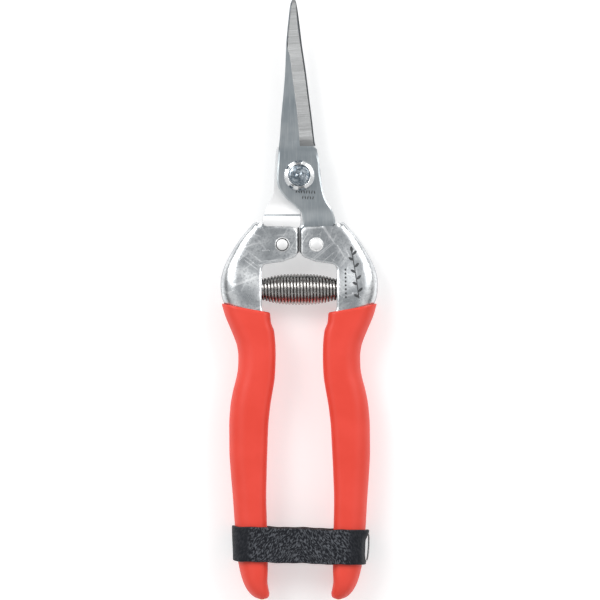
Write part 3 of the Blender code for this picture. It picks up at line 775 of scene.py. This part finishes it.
# %% Handle outlines
BOW = [
    (13.6, -14.75),
    (14.5, -15.0),
    (15.7, -16.4),
    (17.6, -18.5),
    (19.2, -20.6),
    (20.9, -23.3),
    (22.5, -26.0),
    (24.0, -29.2),
    (24.85, -32.2),
    (25.05, -34.9),
    (24.9, -37.4),
    (24.5, -39.2),
    (23.9, -40.6),
    (23.4, -42.5),
    (22.2, -45.5),
    (20.9, -47.9),
]
WALL = 1.0
TAB_HEIGHT = 2.4
TAB_TOP = -16.2
TAB_BOTTOM = -27.9
TAB_SIDE = 0.53
MOUTH = 11.95
BOW_RISE = [(-60.0, 4.5), (-36.0, 4.5), (-29.0, 4.1), (-22.3, 3.4), (-18.5, 2.9), (-14.6, 2.4)]
ROLL_WIDTH = [(-60.0, 6.6), (-30.0, 6.6), (-24.0, 5.6), (-18.5, 3.4), (-14.6, 2.2)]
EDGE_WIDTH = 0.6
EDGE_DROP = 0.28
TAB_REACH = 11.4
TAB_RAMP = 13.5


def tab_edge():
    """The free edge of the sheet: round the tab, then down beside the spring into the grip."""
    corner = 2.2
    points = [(12.0, -15.25), (11.4, -15.7), (10.6, -16.05)]
    points += arc(TAB_SIDE + corner, TAB_TOP - corner, corner, 90, 90)
    points += arc(TAB_SIDE + corner, -24.0, corner, 180, 70)
    points += [(5.2, TAB_BOTTOM + 0.6), (9.4, TAB_BOTTOM + 0.05)]
    points += arc(MOUTH - 2.0, TAB_BOTTOM - 2.0, 2.0, 90, -90, 8)
    return np.array(points)


def free_edges():
    """The tab's edge and the spring mouth's, as matching stations need them."""
    mouth = [(MOUTH, TAB_BOTTOM - 2.0), (MOUTH, -41.8), (11.2, -44.5), (10.2, -47.0)]
    tab = spaced(tab_edge(), 400)
    later = np.round(399 * np.linspace(0, 1, 90) ** 1.3).astype(int)
    return tab[later], spaced(np.array(mouth), 50)


FREE_EDGE = np.vstack([spaced(edge, 400) for edge in free_edges()])


def pair_edges():
    """Matching points along the outer and inner edges, tab first and then the spring mouth."""
    outer = flow(BOW, 400)
    split = int(np.argmin(np.abs(outer[:, 1] + 29.6)))
    tab, mouth = free_edges()
    upper = spaced(outer[: split + 1], 90)
    lower = spaced(outer[split:], 50)
    return outer, np.vstack([upper, lower[1:]]), np.vstack([tab, mouth[1:]])


# %% Handle height


def face_height(points, outer):
    """Height of the sheet's outside at points of the plan; its free edges are rolled down."""
    apart = np.linalg.norm(points[:, None, :] - outer[None, :, :], axis=2)
    inward = apart.min(axis=1)
    rise = read(BOW_RISE, 1, points[:, 1])
    out = np.maximum(points[:, 0] - TAB_REACH, 0)
    down = np.maximum(TAB_BOTTOM + 1.2 - points[:, 1], 0)
    lifted = ease(np.hypot(out, down), 0.0, TAB_RAMP)
    flat = TAB_HEIGHT + (rise - TAB_HEIGHT) * lifted
    part = np.clip(inward / read(ROLL_WIDTH, 1, points[:, 1]), 0, 1)
    rolled = np.sqrt(np.clip(1 - (1 - part) ** 2, 0, 1))
    from_edge = np.linalg.norm(points[:, None, :] - FREE_EDGE[None, :, :], axis=2).min(axis=1)
    from_top = np.hypot(points[:, 0] - 12.5, points[:, 1] + 15.0)
    drop = EDGE_DROP * (1 - np.clip(from_edge / EDGE_WIDTH, 0, 1)) ** 1.4
    return flat * rolled - drop * ease(from_top, 4.0, 6.5)


def build_handle(name, side, body, node):
    """The pressed sheet as a grid, thickened inwards, with its edges softened."""
    outer, starts, ends = pair_edges()
    roll_steps = 1 - np.cos(np.linspace(0, math.pi / 2, 12))
    columns = []
    for start, end in zip(starts, ends):
        span = np.linalg.norm(end - start)
        roll = float(read(ROLL_WIDTH, 1, start[1])) * 1.1
        reach = min(0.8, roll / span)
        edge_start = 1 - min(EDGE_WIDTH / span, 0.2)
        edge_steps = np.linspace(edge_start, 1, 5)[1:]
        shares = np.concatenate([roll_steps * reach, np.linspace(reach, edge_start, 14)[1:], edge_steps])
        plan = start + shares[:, None] * (end - start)
        heights = face_height(plan, outer)
        heights[0] = 0.0
        front = [(x * side, y, z) for (x, y), z in zip(plan, heights)]
        back = [(x, y, -z) for x, y, z in front[1:]]
        columns.append(front[::-1] + back)
    bm = skin(columns, closed_ring=False, caps=False)
    piece = finish_mesh(bm, name, ["plated_steel"], body, [node], 60)
    widest = max(piece.data.polygons, key=lambda face: abs(face.center.x))
    if widest.normal.x * side < 0:
        piece.data.flip_normals()
    wall = piece.modifiers.new("sheet", "SOLIDIFY")
    wall.thickness = WALL * MM
    wall.offset = -1
    wall.use_even_offset = False
    soften(piece, 0.2, 3, 50)
    return piece


build_handle("left_handle_sheet", -1, "left_half", "left_handle")
build_handle("right_handle_sheet", 1, "right_half", "right_handle")

# %% [markdown]
# ## Stamped marks
# The right handle carries a stamped sprig and a row of dots, and the front blade two short
# rows of ticks below the bolt. Each mark is a thin patch that lies a hair above the steel
# and takes a dull, dark finish, as broken plating does.

# %% Stamp the sprig, dots and ticks


def leaf(x, y, length, width, angle):
    """A pointed leaf outline."""
    turn = math.radians(angle)
    points = []
    for k in range(16):
        t = 2 * math.pi * (k + 0.5) / 16
        along = length / 2 * math.cos(t)
        across = width / 2 * math.sin(t) * abs(math.sin(t)) ** 0.4
        points.append((x + along * math.cos(turn) - across * math.sin(turn),
                       y + along * math.sin(turn) + across * math.cos(turn)))
    return points


def build_marks(name, outlines, height, body):
    """Thin raised patches that follow the steel's height."""
    bm = bmesh.new()
    for outline in outlines:
        levels = height(np.array(outline))
        top = [bm.verts.new((x, y, z + 0.03)) for (x, y), z in zip(outline, levels)]
        low = [bm.verts.new((x, y, z - 0.12)) for (x, y), z in zip(outline, levels)]
        bm.faces.new(low[::-1])
        for k in range(len(outline)):
            n = (k + 1) % len(outline)
            bm.faces.new((low[k], low[n], top[n], top[k]))
        for k in range(len(outline) // 2):
            ends = (k, k + 1, len(outline) - 2 - k, len(outline) - 1 - k)
            if len(set(ends)) == 4:
                bm.faces.new([top[end] for end in ends])
            elif len(set(ends)) == 3:
                bm.faces.new([top[end] for end in ends[:3]])
    return finish_mesh(bm, name, ["etched_steel"], body, None)


def sprig():
    """A bent stem with leaves on alternate sides, and a row of dots beside it."""
    stem = flow([(18.9, -39.0), (18.3, -34.0), (17.5, -29.0), (16.6, -24.0)], 24)
    shapes = []
    for k in range(0, 22, 3):
        x, y = stem[k]
        hand = 1 if k % 2 else -1
        shapes.append(leaf(x + 0.75 * hand, y + 0.8, 1.9, 0.85, 98 - 52 * hand))
    shapes.append(leaf(stem[-1][0], stem[-1][1] + 0.6, 2.0, 0.9, 100))
    left = [(x - 0.16, y) for x, y in stem]
    right = [(x + 0.16, y) for x, y in stem[::-1]]
    shapes.append(left + right)
    shapes += [leaf(14.8 - 0.02 * k, -38.6 + 1.25 * k, 0.75, 0.62, 90) for k in range(8)]
    return shapes


def ticks():
    """Two rows of short ticks across the blade below the bolt."""
    rows = []
    for count, y, start in ((8, -5.0, -0.9), (5, -6.9, 1.1)):
        for k in range(count):
            rows.append(leaf(start + 0.82 * k, y - 0.04 * k, 1.15, 0.34, 78 + 24 * (k % 2)))
    return rows


def on_handle(points):
    """The right handle's height under a mark."""
    return face_height(points, flow(BOW, 400))


def on_blade(points):
    """The front blade's height under a mark."""
    return np.full(len(points), GAP + THICK)


build_marks("stamped_sprig", sprig(), on_handle, "right_half")
build_marks("stamped_ticks", ticks(), on_blade, "right_half")

# %% [markdown]
# ## Grips
# The grips are soft vinyl, thick at the rim and closed at the end. In section they are
# round over the channel's rolled edge, flat in front and behind, and softly square along
# the inner side. The top rim slants: higher at the outside, lower beside the gap.

# %% Grip outline and section
# Each row is y, then x of the grip's outer side and of its inner side.
GRIP = [
    (-40.4, 24.75, 9.3),
    (-43.9, 23.7, 9.0),
    (-47.1, 22.35, 8.05),
    (-50.9, 20.8, 7.7),
    (-54.0, 19.8, 7.55),
    (-57.5, 19.4, 7.5),
    (-61.0, 19.5, 7.6),
    (-64.3, 20.05, 7.8),
    (-68.1, 21.05, 8.4),
    (-73.5, 22.0, 9.3),
    (-79.6, 22.4, 9.95),
    (-87.2, 22.4, 10.3),
    (-94.9, 22.0, 10.6),
    (-102.5, 21.4, 10.8),
    (-112.0, 20.8, 10.6),
    (-120.0, 20.2, 10.35),
    (-125.4, 19.3, 10.35),
    (-129.2, 18.2, 10.5),
    (-131.6, 17.0, 10.15),
    (-133.2, 15.7, 9.85),
    (-134.1, 14.5, 10.3),
    (-134.6, 13.0, 11.7),
]
GRIP_HEIGHT = 5.6
GRIP_WALL = 0.9


def rim_drop(x):
    """How far the slanted rim lies below its highest point, at a distance from the middle."""
    share = np.clip((25.0 - x) / 16.0, 0.0, 1.0)
    return 3.1 * share**0.85


def grip_ring(y, side, inset=0.0, slant=0.0):
    """One section of a grip; slant shares out the rim's drop. Both ends lean to the right."""
    wide, near = float(read(GRIP, 1, y)) - inset, float(read(GRIP, 2, y)) + inset
    end = math.sqrt(max(0.0, 1 - ((-127.0 - min(y, -127.0)) / 8.0) ** 2))
    half = 1.2 + (GRIP_HEIGHT - 1.2) * end - inset
    round_side = min(half, 0.6 * (wide - near))
    soft = min(2.6, 0.35 * (wide - near))
    front = []
    for k in range(9):
        turn = math.pi / 2 * k / 8
        front.append((near + soft * (1 - math.cos(turn)), half - soft * (1 - math.sin(turn))))
    for share in (0.25, 0.5, 0.75):
        front.append((near + soft + share * (wide - round_side - near - soft), half))
    for k in range(15):
        turn = math.pi / 2 * (1 - k / 14)
        front.append((wide - round_side + round_side * math.cos(turn), half * math.sin(turn)))
    ring = front + [(x, -z) for x, z in front[::-1][1:]]
    lean = 0.35 * float(ease(y, -60.0, -120.0))
    return [(x * side + lean, y - slant * float(rim_drop(x)), z) for x, z in ring]


def build_grip(name, side, body, node):
    """A sleeve with a rounded rim, open at the top for the channel."""
    top, deep = -40.4, 8.0
    rings = []
    for depth in (deep, 4.0, 1.0):
        rings.append(grip_ring(top - depth, side, GRIP_WALL, 1.0))
    for k in range(5):
        turn = math.pi * k / 4
        inset = GRIP_WALL * (1 + math.cos(turn)) / 2
        rings.append(grip_ring(top - 0.45 + 0.45 * math.sin(turn), side, inset, 1.0))
    for y in np.arange(top - 1.0, -126.0, -1.0):
        rings.append(grip_ring(y, side, 0.0, float(ease(y, -58.0, top))))
    for y in list(np.arange(-126.5, -134.1, -0.5)) + [-134.25, -134.45, -134.6]:
        rings.append(grip_ring(float(y), side))
    return finish_mesh(skin(rings), name, ["vinyl"], body, [node], 50)


build_grip("left_grip_sleeve", -1, "left_half", "left_grip")
build_grip("right_grip_sleeve", 1, "right_half", "right_grip")

# %% [markdown]
# ## Bolt, nut and rivets
# Round hardware is a profile spun about its axis. The nut is spun too, but its rim dips
# inwards at four spanner notches, and its top slopes gently outwards so that it shines.
# The bolt's end is peened: a low dome with small dents left by the hammer.

# %% Pivot hardware
BOLT = 3.3
NUT_RADIUS = 4.8
# Each notch is the angle of its middle and half its width, in degrees.
NOTCHES = [(93, 14), (146, 7), (236, 9), (280, 14)]
NUT_BASE = 2.85
NUT_TOP = 4.85


def nut_shape(radius, height, angle):
    """A round nut whose rim dips at its spanner notches."""
    if radius < NUT_RADIUS - 0.3:
        return radius, height
    turn = math.degrees(angle)
    depth = max(1 - ease(abs(turn - middle), half - 1.5, half + 1.5) for middle, half in NOTCHES)
    return radius - 0.62 * float(depth), height


nut_profile = [
    (BOLT + 0.05, NUT_BASE),
    (NUT_RADIUS - 0.15, NUT_BASE),
    (NUT_RADIUS, NUT_BASE + 0.15),
    (NUT_RADIUS, NUT_TOP - 0.60),
    (NUT_RADIUS - 0.16, NUT_TOP - 0.34),
    (BOLT + 0.25, NUT_TOP),
    (BOLT + 0.05, NUT_TOP - 0.3),
    (BOLT + 0.05, NUT_BASE),
]
nut = spin(nut_profile, 180, shape=nut_shape)
nut = finish_mesh(nut, "nut_notched", ["hardware_steel"], "left_half", ["pivot_nut"], 20)
soften(nut, 0.08, 2, 25)

washer_profile = [(BOLT + 0.1, 2.2), (4.75, 2.2), (4.85, 2.3), (4.85, 2.62), (4.72, 2.75)]
washer_profile.append((BOLT + 0.1, 2.75))
washer = spin(washer_profile + washer_profile[:1], 72)
# Painted shade: the washer takes the dark peened finish, as it lies in the nut's shade.
finish_mesh(washer, "washer_round", ["peened_steel"], "left_half", ["pivot_washer"])


def peened(radius, height, angle):
    """Hammered facets on the bolt's end."""
    if height > NUT_TOP - 0.4 and radius < BOLT:
        dent = math.sin(3 * angle + 4 * radius) + 0.6 * math.sin(5 * angle - 3 * radius + 1.3)
        height += 0.05 * dent * radius / BOLT
    return radius, height


turns = [k * math.pi / 20 for k in range(11)]
dome = [(BOLT * math.sin(turn), NUT_TOP - 0.3 + 0.55 * math.cos(turn)) for turn in turns]
dome[:3] = [(0.0, NUT_TOP + 0.42), (0.75, NUT_TOP + 0.40), (0.95, NUT_TOP + 0.22)]
bolt_profile = dome + [(BOLT, -2.15), (5.2, -2.15), (5.2, -3.75), (4.8, -4.15), (0.0, -4.15)]
bolt = spin(bolt_profile, 72, shape=peened)
finish_mesh(bolt, "bolt_peened", ["peened_steel"], "left_half", ["pivot_bolt"], 40)

# %% Rivets, painted bright as a highlight, the left one darker in the groove round its dome
RIVET = (5.4, -21.9)
GROOVE = (1.76, 2.06)
rivet_top = [
    (0.0, 3.14),
    (0.9, 3.10),
    (1.5, 2.98),
    (1.74, 2.86),
    (1.82, 2.66),
    (2.02, 2.66),
    (2.08, 2.76),
    (2.2, 2.70),
    (2.32, 2.48),
    (2.36, 2.25),
    (1.6, 2.2),
]
rivet_profile = rivet_top + [(radius, -height) for radius, height in reversed(rivet_top)]
# Painted highlight: the rivets take the pale highlight finish; the left one's groove takes the dark
# finish.
finishes = ["blade_painted_highlight", "blade_dark"]
for half, side in (("left", -1), ("right", 1)):
    rivet = spin(rivet_profile, 48, side * RIVET[0], RIVET[1])
    name, body, node = f"{half}_rivet_domed", f"{half}_half", f"{half}_rivet"
    piece = finish_mesh(rivet, name, finishes, body, [node], 30)
    middle = PIVOT + Vector((side * RIVET[0], RIVET[1], 0)) * MM
    for face in piece.data.polygons:
        out = (face.center - middle).to_2d().length / MM
        face.material_index = int(half == "left" and GROOVE[0] < out < GROOVE[1])

for half in ("left", "right"):
    peg = frame["nodes"][f"{half}_spring_peg"]
    peg.data.materials.clear()
    peg.data.materials.append(FINISHES["hardware_steel"])
print("pegs keep their working shape")

# %% [markdown]
# ## Spring
# The spring is one round wire wound to a barrel: thin where it enters the handles and
# fattest in the middle. Opening the handles fans its coils out; the piece rides on neither
# half of the tool.

# %% Wind the spring
SPRING_Y = -36.1
SPRING_REACH = 16.0
SPRING_TURNS = 31
WIRE = 0.45
BARREL = [(-16.0, 2.95), (-12.0, 3.05), (-10.5, 3.35), (-8.5, 3.9), (-4.0, 4.5), (0.0, 4.62)]
BARREL += [(-x, radius) for x, radius in BARREL[-2::-1]]


def wind_spring():
    """Rings of wire along the barrel's helix."""
    per_turn, sides = 36, 10
    rings = []
    for k in range(SPRING_TURNS * per_turn + 1):
        angle = 2 * math.pi * k / per_turn
        x = -SPRING_REACH + 2 * SPRING_REACH * k / (SPRING_TURNS * per_turn)
        radius = float(read(BARREL, 1, x))
        out = Vector((0, math.cos(angle), math.sin(angle)))
        centre = Vector((x, SPRING_Y, 0)) + out * radius
        ring = []
        for j in range(sides):
            turn = 2 * math.pi * j / sides
            ring.append(centre + WIRE * (math.cos(turn) * out + math.sin(turn) * Vector((1, 0, 0))))
        rings.append(ring)
    return skin(rings)


wire = wind_spring()
spring = finish_mesh(wire, "barrel_spring", ["spring_steel"], None, ["coil_spring"], 60)
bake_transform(spring)

# %% [markdown]
# ## Strap
# A band of grained leather goes round both grips and is closed at the right by a wire
# staple. It is modelled directly, because a cloth remesh would erase its crisp edges: a
# path round the grips, dipped slightly between them, swept with a thin section whose
# edges are rounded.

# %% Strap path
STRAP_Y = -117.3
STRAP_HALF = 5.5
STRAP_THICK = 1.05
STRAP_LEAN = math.radians(-1.7)
STRAP_SIDE = {-1: 20.55, 1: 20.75}
INNER_HEIGHT = GRIP_HEIGHT + 0.12
# How far the right-hand fold is pinched in, from the band's lower edge, -1, to its upper, 1.
FOLD = [(-1.1, 0.2), (-0.8, 0.5), (-0.4, 0.75), (0.3, 0.75), (0.65, 0.1), (0.9, -0.35), (1.1, -0.3)]


def strap_path(count=240):
    """The band's inner face seen along the handles: round each grip, straight between."""
    points = []
    bend = 5.5
    for side, start in ((1, -90), (-1, 90)):
        x = side * (STRAP_SIDE[side] - bend)
        lean = INNER_HEIGHT - bend
        first, second = (-lean, lean) if side > 0 else (lean, -lean)
        points += arc(x, first, bend, start, 90, 14)
        points += arc(x, second, bend, start + 90, 90, 14)
    points.append(points[0])
    return spaced(np.array(points), count)[:-1]


def build_strap():
    """Sweep the band's section round its path."""
    path = strap_path()
    section = []
    for across in np.linspace(-1, 1, 15):
        section.append((across * (STRAP_HALF - 0.25), 0.0))
    for k in range(1, 6):
        turn = math.pi * k / 6
        section.append((STRAP_HALF - 0.25 + 0.3 * math.sin(turn), STRAP_THICK * (1 - math.cos(turn)) / 2))
    for across in np.linspace(1, -1, 15):
        section.append((across * (STRAP_HALF - 0.25), STRAP_THICK))
    for k in range(1, 6):
        turn = math.pi * k / 6
        section.append((-STRAP_HALF + 0.25 - 0.3 * math.sin(turn), STRAP_THICK * (1 + math.cos(turn)) / 2))
    rings = []
    for k, (x, z) in enumerate(path):
        ahead = path[(k + 1) % len(path)] - path[k - 1]
        normal = np.array([ahead[1], -ahead[0]]) / np.linalg.norm(ahead)
        dip = 0.35 * math.cos(min(abs(x) / 10.0, 1.0) * math.pi / 2) ** 2
        closed = float(ease(x, 17.0, 20.0)) * float(ease(abs(z), 5.0, 2.0))
        wave = 0.10 * math.sin(x * 0.45 + 1.0) + 0.06 * math.sin(x * 1.1)
        ring = []
        for along, out in section:
            shift = out - dip * (1.0 - 0.25 * (along / STRAP_HALF) ** 2)
            share = along / STRAP_HALF
            pinch = closed * float(read(FOLD, 1, share))
            slant = 0.6 * float(ease(x, -16.0, -20.0)) * float(ease(share, 1.0, -1.0))
            narrow = 0.5 * float(ease(z, 0.0, -4.0)) * float(ease(share, 0.5, 1.0))
            place_x = x + normal[0] * shift - pinch + slant
            ring.append((place_x, STRAP_Y + along + wave - narrow, z + normal[1] * shift))
        rings.append(ring)
    bm = skin(rings, joined=True)
    bmesh.ops.rotate(bm, cent=(0, STRAP_Y, 0), matrix=Matrix.Rotation(STRAP_LEAN, 3, "Z"), verts=bm.verts)
    return bm


band = build_strap()
strap = finish_mesh(band, "leather_band", ["leather", "leather_edge"], "strap", ["strap"], 60)
for face in strap.data.polygons:
    if abs(face.normal.y) > 0.75:
        face.material_index = 1

# %% Strap staple


def build_staple():
    """A bowed crown of wire beside the right grip, its ends turned into the leather."""
    line = [(20.4, -4.9, 1.5), (21.2, -4.7, 0.6), (21.75, -4.0, 0.1), (22.0, -2.0, 0.0), (22.1, 0.3, 0.0),
            (22.1, 2.2, 0.0), (22.0, 3.6, 0.0), (21.6, 4.3, 0.5), (20.9, 4.5, 1.5)]
    path = flow(line, 60)
    rings = []
    for k, centre in enumerate(path):
        ahead = Vector(path[min(k + 1, len(path) - 1)] - path[max(k - 1, 0)]).normalized()
        side = ahead.cross(Vector((0, 0, 1))).normalized()
        up = side.cross(ahead)
        ring = []
        for j in range(12):
            turn = 2 * math.pi * j / 12
            ring.append(Vector(centre) + 0.27 * (math.cos(turn) * side + math.sin(turn) * up))
        rings.append([point + Vector((0, STRAP_Y, 0)) for point in ring])
    bm = skin(rings)
    bmesh.ops.rotate(bm, cent=(0, STRAP_Y, 0), matrix=Matrix.Rotation(STRAP_LEAN, 3, "Z"), verts=bm.verts)
    return bm


finish_mesh(build_staple(), "strap_staple", ["spring_steel"], "strap", ["strap_link"], 60)
